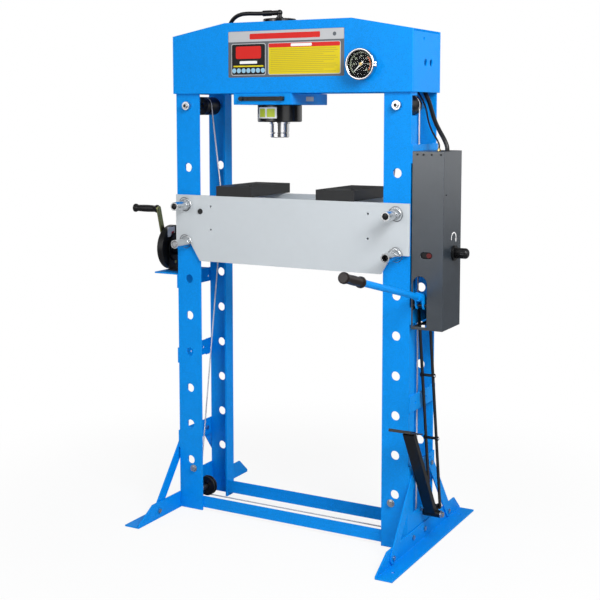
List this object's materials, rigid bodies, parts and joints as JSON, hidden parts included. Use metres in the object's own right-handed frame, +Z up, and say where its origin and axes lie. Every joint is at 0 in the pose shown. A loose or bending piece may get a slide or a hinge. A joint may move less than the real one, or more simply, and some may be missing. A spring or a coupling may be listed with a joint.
{
  "type": "hydraulic press",
  "caption": "Floor-standing hydraulic shop press with a sliding cylinder, a winch-lifted bed on pins, a hand lever and a foot pedal.",
  "frame": {"origin": "centre of the rectangle of anchor holes in the feet, at floor level", "axes": "+X to the right seen from the front, +Y to the back, +Z up"},
  "size_m": [1.367, 1.0921, 1.893],
  "materials": {
    "blue_paint": "satin blue paint",
    "bed_paint": "satin light grey paint",
    "zinc": "bright zinc",
    "chrome": "polished chrome",
    "black_oxide": "dark machined steel",
    "black_paint": "satin black paint",
    "case_paint": "fine textured grey paint",
    "olive_zinc": "yellow passivated zinc",
    "dial_black": "matte black dial",
    "white_paint": "white",
    "clear_glass": "clear",
    "grip_brown": "matte dark brown",
    "grip_black": "satin black",
    "hose_rubber": "matte black",
    "steel_rope": "stranded wire",
    "brass": "machined"
  },
  "bodies": {
    "frame": {"upright_fl": "blue_paint", "upright_fr": "blue_paint", "upright_rl": "blue_paint", "upright_rr": "blue_paint", "tie_bars": "blue_paint", "crossbars": "blue_paint", "foot_left": "blue_paint", "foot_right": "blue_paint", "braces": "blue_paint", "frame_bolts": "zinc", "pulley_straps": "blue_paint", "pulley_axles": "zinc", "head_front": "blue_paint", "head_rear": "blue_paint", "head_ends": "blue_paint", "head_rails": "blue_paint", "gauge_case": "chrome", "gauge_dial": "dial_black", "gauge_glass": "clear_glass", "bed_front": "bed_paint", "bed_rear": "bed_paint", "bed_spacers": "bed_paint", "press_block_left": "black_oxide", "press_block_right": "black_oxide", "winch_shelf": "blue_paint", "winch_frame": "black_paint", "winch_cover": "black_paint", "cable_hoist": "steel_rope", "cable_level": "steel_rope", "hose_main": "hose_rubber", "hose_gauge": "hose_rubber", "hose_unions": "brass", "pump_case": "case_paint", "case_trim": "black_paint", "pump_unit": "black_paint", "lever_bracket": "zinc"},
    "needle": {"gauge_needle": "white_paint"},
    "carriage": {"carriage": "blue_paint", "carriage_bar": "black_oxide", "press_cylinder": "black_paint", "gland_ring": "zinc", "hose_elbow": "black_paint"},
    "ram": {"ram": "chrome", "ram_saddle": "chrome"},
    "pin_upper_left": {"pin_upper_left": "zinc"},
    "pin_upper_right": {"pin_upper_right": "zinc"},
    "pin_lower_left": {"pin_lower_left": "zinc"},
    "pin_lower_right": {"pin_lower_right": "zinc"},
    "roller_top_left": {"roller_top_left": "grip_black"},
    "roller_top_right": {"roller_top_right": "grip_black"},
    "pulley_low_left": {"pulley_low_left": "grip_black"},
    "pulley_low_right": {"pulley_low_right": "grip_black"},
    "drum": {"winch_drum": "zinc"},
    "crank": {"crank": "olive_zinc"},
    "crank_grip": {"crank_grip": "grip_black"},
    "release_knob": {"release_knob": "grip_black"},
    "lever": {"hand_lever": "blue_paint", "lever_grip": "grip_brown"},
    "pedal": {"foot_pedal": "black_paint"},
    "rods": {"pedal_rods": "black_paint"}
  },
  "joints": [
    {"name": "carriage_slide", "type": "slide", "parent": "frame", "child": "carriage", "axis": [1, 0, 0], "range_m": [-0.15, 0.34], "deforming": ["hose_main"]},
    {"name": "ram_slide", "type": "slide", "parent": "carriage", "child": "ram", "axis": [0, 0, -1], "range_m": [0, 0.16]},
    {"name": "needle_turn", "type": "hinge", "parent": "frame", "child": "needle", "pos_m": [0.305, -0.15, 1.683], "axis": [0, 1, 0], "range_deg": [0, 270], "stiffness_Nm_per_rad": 0.01, "springref_deg": -11.46},
    {"name": "pin_upper_left_slide", "type": "slide", "parent": "frame", "child": "pin_upper_left", "axis": [0, -1, 0], "range_m": [0, 0.3]},
    {"name": "pin_upper_right_slide", "type": "slide", "parent": "frame", "child": "pin_upper_right", "axis": [0, -1, 0], "range_m": [0, 0.3]},
    {"name": "pin_lower_left_slide", "type": "slide", "parent": "frame", "child": "pin_lower_left", "axis": [0, -1, 0], "range_m": [0, 0.3]},
    {"name": "pin_lower_right_slide", "type": "slide", "parent": "frame", "child": "pin_lower_right", "axis": [0, -1, 0], "range_m": [0, 0.3]},
    {"name": "release_knob_turn", "type": "hinge", "parent": "frame", "child": "release_knob", "pos_m": [0.56, -0.019, 1.044], "axis": [1, 0, 0], "range_deg": [0, 540]},
    {"name": "pedal_pivot", "type": "hinge", "parent": "frame", "child": "pedal", "pos_m": [0.513, 0.01, 0.108], "axis": [1, 0, 0], "range_deg": [-8, 24]},
    {"name": "lever_pivot", "type": "hinge", "parent": "frame", "child": "lever", "pos_m": [0.513, -0.108, 0.869], "axis": [1, 0, 0], "range_deg": [-9.84, 29.52]},
    {"name": "rods_pivot", "type": "hinge", "parent": "pedal", "child": "rods", "pos_m": [0.513, 0.044, 0.124], "axis": [1, 0, 0], "range_deg": [-24.36, 8.12]},
    {"name": "drum_spin", "type": "hinge", "parent": "frame", "child": "drum", "pos_m": [-0.53, 0, 0.997], "axis": [1, 0, 0], "continuous": true},
    {"name": "crank_spin", "type": "hinge", "parent": "frame", "child": "crank", "pos_m": [-0.6, -0.005, 0.941], "axis": [1, 0, 0], "continuous": true},
    {"name": "crank_grip_spin", "type": "hinge", "parent": "crank", "child": "crank_grip", "pos_m": [-0.653, -0.06127, 1.14954], "axis": [1, 0, 0], "continuous": true},
    {"name": "roller_top_left_spin", "type": "hinge", "parent": "frame", "child": "roller_top_left", "pos_m": [-0.425, 0, 1.545], "axis": [0, 1, 0], "continuous": true},
    {"name": "roller_top_right_spin", "type": "hinge", "parent": "frame", "child": "roller_top_right", "pos_m": [0.425, 0, 1.545], "axis": [0, 1, 0], "continuous": true},
    {"name": "pulley_low_left_spin", "type": "hinge", "parent": "frame", "child": "pulley_low_left", "pos_m": [-0.425, 0, 0.061], "axis": [0, 1, 0], "continuous": true},
    {"name": "pulley_low_right_spin", "type": "hinge", "parent": "frame", "child": "pulley_low_right", "pos_m": [0.425, 0, 0.061], "axis": [0, 1, 0], "continuous": true}
  ],
  "couplings": [
    {"joint": "lever_pivot", "follows": "pedal_pivot", "ratio": 1.23},
    {"joint": "rods_pivot", "follows": "pedal_pivot", "ratio": -1.015},
    {"joint": "crank_spin", "follows": "drum_spin", "ratio": -4},
    {"joint": "roller_top_left_spin", "follows": "drum_spin", "ratio": 1.0413},
    {"joint": "roller_top_right_spin", "follows": "drum_spin", "ratio": -1.0413},
    {"joint": "pulley_low_left_spin", "follows": "drum_spin", "ratio": -0.9507},
    {"joint": "pulley_low_right_spin", "follows": "drum_spin", "ratio": -0.9507}
  ]
}
